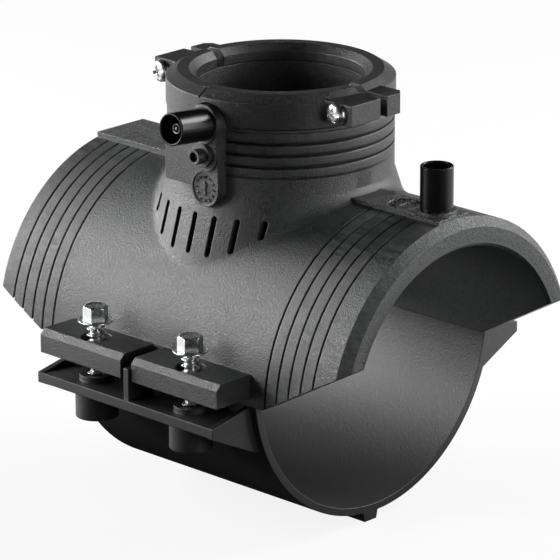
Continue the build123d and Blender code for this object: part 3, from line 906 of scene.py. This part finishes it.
CONTACT = (
    (11.0, 0.2), (10.95, 0.5), (10.7, 0.72), (10.0, 0.75), (9.3, 0.78), (9.3, 1.35), (10.5, 1.4),
    (10.75, 1.5), (10.8, 1.75), (10.65, 1.93), (10.3, 1.98), (-7.9, 1.98), (-7.95, 1.9))
BUTTON = (
    (0.0, 0.15), (-0.05, 0.4), (-0.25, 0.62), (-0.7, 0.7), (-0.9, 0.75), (-0.9, 1.4), (-0.2, 1.5),
    (-0.03, 1.62), (-0.05, 1.78), (-0.3, 1.88))


@dataclass
class Electrics:
    """Shrouds, pins, indicator and heating wires."""

    shrouds: tuple[str, ...] = ("socket_terminal_shroud", "saddle_terminal_shroud")
    wires: tuple[str, ...] = ("socket_heating_coil", "saddle_heating_mat")
    lean: float = 5.0

    def pins(self) -> tuple[TurnedPin, ...]:
        """The two contact pins and the rising button of the fusion indicator.

        Returns:
            The socket's pin, the crown's pin and the button.
        """
        lean = radians(self.lean)
        low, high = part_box("fusion_indicator")
        half = (high.y - low.y) / 2 / MM
        button = tuple((half + height, radius) for height, radius in BUTTON) + ((-half, 1.88),)
        return (
            TurnedPin("socket_terminal_pin", "saddle", "pin_brass", (0, -cos(lean), sin(lean)), CONTACT),
            TurnedPin("saddle_terminal_pin", "saddle", "pin_brass", (0, 0, 1), CONTACT),
            TurnedPin("fusion_indicator", "indicator", "black_shroud", (0, -1, 0), button))

    def build(self, finishes: Finishes) -> None:
        """Dresses the shrouds and wires and makes the pins.

        Args:
            finishes: the fitting's finishes.
        """
        for names, material in ((self.shrouds, finishes.gloss), (self.wires, finishes.wire)):
            for node in names:
                dress(NODES[node], material)
                log.info("%s dressed", node)
        contact, crown, button = self.pins()
        contact.build(finishes.brass)
        crown.build(finishes.brass)
        button.build(finishes.gloss)


# ---------------------------------------------------------------------------
# Studio
# ---------------------------------------------------------------------------
@dataclass(frozen=True)
class Lamp:
    """A soft box on a stand, aimed at the fitting."""

    name: str
    azimuth: float
    elevation: float
    power: float
    width: float
    height: float
    distance: float = 1.2

    def build(self, aim: Vector) -> None:
        """Makes the lamp. Azimuth 0 is in front of the fitting and 90 beyond its right end.

        Args:
            aim: the point that the lamp looks at.
        """
        a, e = radians(self.azimuth), radians(self.elevation)
        away = Vector((sin(a) * cos(e), -cos(a) * cos(e), sin(e)))
        light = bpy.data.lights.new(self.name, "AREA")
        light.shape = "RECTANGLE"
        light.size, light.size_y, light.energy = self.width, self.height, self.power
        obj = bpy.data.objects.new(self.name, light)
        bpy.context.scene.collection.objects.link(obj)
        obj.location = aim + away * self.distance
        obj.rotation_euler = away.to_track_quat("Z", "Y").to_euler()


@dataclass
class Studio:
    """Pale floor, soft lamps, white surround and the camera."""

    camera_place: tuple[float, float, float] = (1.0797, -1.1206, 0.5374)
    camera_back: tuple[float, float, float] = (0.65898, -0.68348, 0.31402)
    camera_roll: float = -0.164
    lens: float = 276.459
    ambient: float = 0.05
    floor_glow: float = 0.86
    drape_radius: float = 2.4
    drape_spread: float = 112.0
    drape_hem: float = 8.0
    drape_turn: float = 44.0
    drape_top: float = 88.0
    mat_rise: float = 0.0002
    floor_gap: float = 0.0005
    mats: tuple[tuple[float, float, float], ...] = ((0.0, 0.0, 0.13), (0.40, -0.40, 0.58))
    lamps: tuple[Lamp, ...] = (
        Lamp("key left", -75.0, 15.0, 15.0, 0.45, 0.55),
        Lamp("front left", -38.0, 17.0, 6.5, 0.40, 0.40),
        Lamp("rim behind", 157.0, 30.0, 12.5, 0.6, 0.5),
        Lamp("rim right", 130.0, 10.0, 3.4, 0.5, 0.4),
        Lamp("right", 88.0, 12.0, 2.8, 0.45, 0.45),
    )

    def camera(self) -> None:
        """Makes the camera: back is the way from the fitting to it, and roll turns it about that."""
        data = bpy.data.cameras.new("camera")
        data.sensor_width, data.lens = 36.0, self.lens
        data.clip_start, data.clip_end = 0.05, 50.0
        obj = bpy.data.objects.new("camera", data)
        bpy.context.scene.collection.objects.link(obj)
        back = Vector(self.camera_back).normalized()
        right = Vector((-back.y, back.x, 0)).normalized()
        up = back.cross(right)
        turn = Matrix((right, up, back)).transposed() @ Matrix.Rotation(radians(self.camera_roll), 3, "Z")
        obj.matrix_world = Matrix.Translation(self.camera_place) @ turn.to_4x4()
        bpy.context.scene.camera = obj

    @staticmethod
    def seen_directly(tree: bpy.types.NodeTree) -> bpy.types.NodeSocket:
        """1 for rays from the camera, off a glossy surface or through glass, else 0.

        Args:
            tree: the node tree that the test is added to.

        Returns:
            The test's value.
        """
        path = tree.nodes.new("ShaderNodeLightPath")
        total = path.outputs["Is Camera Ray"]
        for name in ("Is Glossy Ray", "Is Transmission Ray"):
            most = tree.nodes.new("ShaderNodeMath")
            most.operation = "MAXIMUM"
            tree.links.new(total, most.inputs[0])
            tree.links.new(path.outputs[name], most.inputs[1])
            total = most.outputs[0]
        return total

    def surround(self) -> None:
        """White world that lights the fitting only a little."""
        world = bpy.data.worlds.new("surround")
        bpy.context.scene.world = world
        world.use_nodes = True
        tree = world.node_tree
        strength = tree.nodes.new("ShaderNodeMapRange")
        strength.inputs["To Min"].default_value = self.ambient
        strength.inputs["To Max"].default_value = 1.0
        tree.links.new(self.seen_directly(tree), strength.inputs["Value"])
        back = tree.nodes["Background"]
        back.inputs["Color"].default_value = (1, 1, 1, 1)
        tree.links.new(strength.outputs["Result"], back.inputs["Strength"])

    def floor(self, height: float) -> None:
        """White floor under the fitting, bright to the eye but still holding the shadow.

        Args:
            height: how high the floor is, in metres.
        """
        reach = 12000.0
        corner = np.array([[-1, -1], [1, -1], [1, 1], [-1, 1]]) * reach
        verts = np.column_stack([corner, np.full(4, height / MM)])
        obj = mesh_from_arrays("floor", verts, np.array([[0, 1, 2, 3]]), np.zeros((0, 3), int))
        material = bpy.data.materials.new("floor_white")
        material.use_nodes = True
        tree = material.node_tree
        matt = tree.nodes["Principled BSDF"]
        matt.inputs["Base Color"].default_value = (0.9, 0.9, 0.9, 1)
        matt.inputs["Roughness"].default_value = 0.9
        matt.inputs["Specular IOR Level"].default_value = 0.0
        new = tree.nodes.new
        glow, mix, share = new("ShaderNodeEmission"), new("ShaderNodeMixShader"), new("ShaderNodeMath")
        share.operation = "MULTIPLY"
        share.inputs[1].default_value = self.floor_glow
        tree.links.new(self.seen_directly(tree), share.inputs[0])
        tree.links.new(share.outputs[0], mix.inputs["Fac"])
        tree.links.new(matt.outputs[0], mix.inputs[1])
        tree.links.new(glow.outputs[0], mix.inputs[2])
        tree.links.new(mix.outputs[0], tree.nodes["Material Output"].inputs["Surface"])
        obj.data.materials.append(material)

    def drape(self, height: float) -> None:
        """Black cloth round the stage and a mat before the fitting, seen only in reflections, which paint
        shade into them and so keep its dark sides dark.

        The cloth is a dome: a point at turn u and rise v is radius * (sin u cos v, -cos u cos v, sin v).
        Its hem is on the floor behind the camera and lifts on the far side, where the white
        surround shows under it. Each mat is a disc on the floor.

        Args:
            height: how high the floor is, in metres.
        """
        radius = self.drape_radius / MM
        turns, rises = 48, 24
        swing = np.linspace(-180, 180, turns + 1)[:, None]
        turn = np.radians(swing + self.drape_turn)
        hem = np.where(np.abs(swing) < self.drape_spread, -1.0, self.drape_hem)
        rise = np.radians(hem + (self.drape_top - hem) * np.linspace(0, 1, rises + 1)[None, :])
        points = radius * np.stack([
            np.sin(turn) * np.cos(rise), -np.cos(turn) * np.cos(rise), np.sin(rise) + 0 * turn], -1)
        row, column = np.meshgrid(np.arange(turns), np.arange(rises), indexing="ij")
        first = (row * (rises + 1) + column).ravel()
        quads = np.stack([first, first + 1, first + rises + 2, first + rises + 1], -1)
        cloth = mesh_from_arrays("drape", points.reshape(-1, 3), quads, np.zeros((0, 3), int))
        around = np.linspace(0, tau, 64, endpoint=False)
        cloths = [cloth]
        for number, (x, y, reach) in enumerate(self.mats):
            level = np.full_like(around, height + self.mat_rise)
            rings = np.stack([
                np.stack([x + r * np.cos(around), y + r * np.sin(around), level], -1) / MM
                for r in (reach, reach / 2)])
            cloths.append(wrapped_grid(f"mat_{number}", rings))
        material = bpy.data.materials.new("reflection_shade_cloth")
        material.use_nodes = True
        shader = material.node_tree.nodes["Principled BSDF"]
        shader.inputs["Base Color"].default_value = (0.004, 0.004, 0.004, 1)
        shader.inputs["Roughness"].default_value = 1.0
        shader.inputs["Specular IOR Level"].default_value = 0.0
        for obj in cloths:
            obj.data.materials.append(material)
            # Painted shade: hidden from the camera, from shadows and from diffuse light, these black sheets
            # show only in reflections.
            obj.visible_camera = obj.visible_shadow = obj.visible_diffuse = False

    def build(self) -> None:
        """Sets up the studio."""
        low, high = CAD_BOX
        bpy.context.scene.view_settings.view_transform = "Standard"
        self.camera()
        self.surround()
        self.floor(low.z - self.floor_gap)
        self.drape(low.z - self.floor_gap)
        for lamp in self.lamps:
            lamp.build((low + high) / 2)
        log.info("studio ready")


def main() -> None:
    """Builds the fitting and the studio."""
    logging.basicConfig(level=logging.INFO, format="%(name)s: %(message)s")
    finishes = Finishes()
    Studio().build()
    SaddleMoulding().build(finishes)
    LowerClamp().build(finishes)
    RingClamp().build(finishes)
    screw = HexScrew()
    spins = {"front_left": 28.0, "front_right": 21.0, "rear_left": 47.0, "rear_right": 5.0}
    for place, spin in spins.items():
        screw.build(f"clamp_screw_{place}", spin, finishes)
    Electrics().build(finishes)


if __name__ == "__main__":
    main()
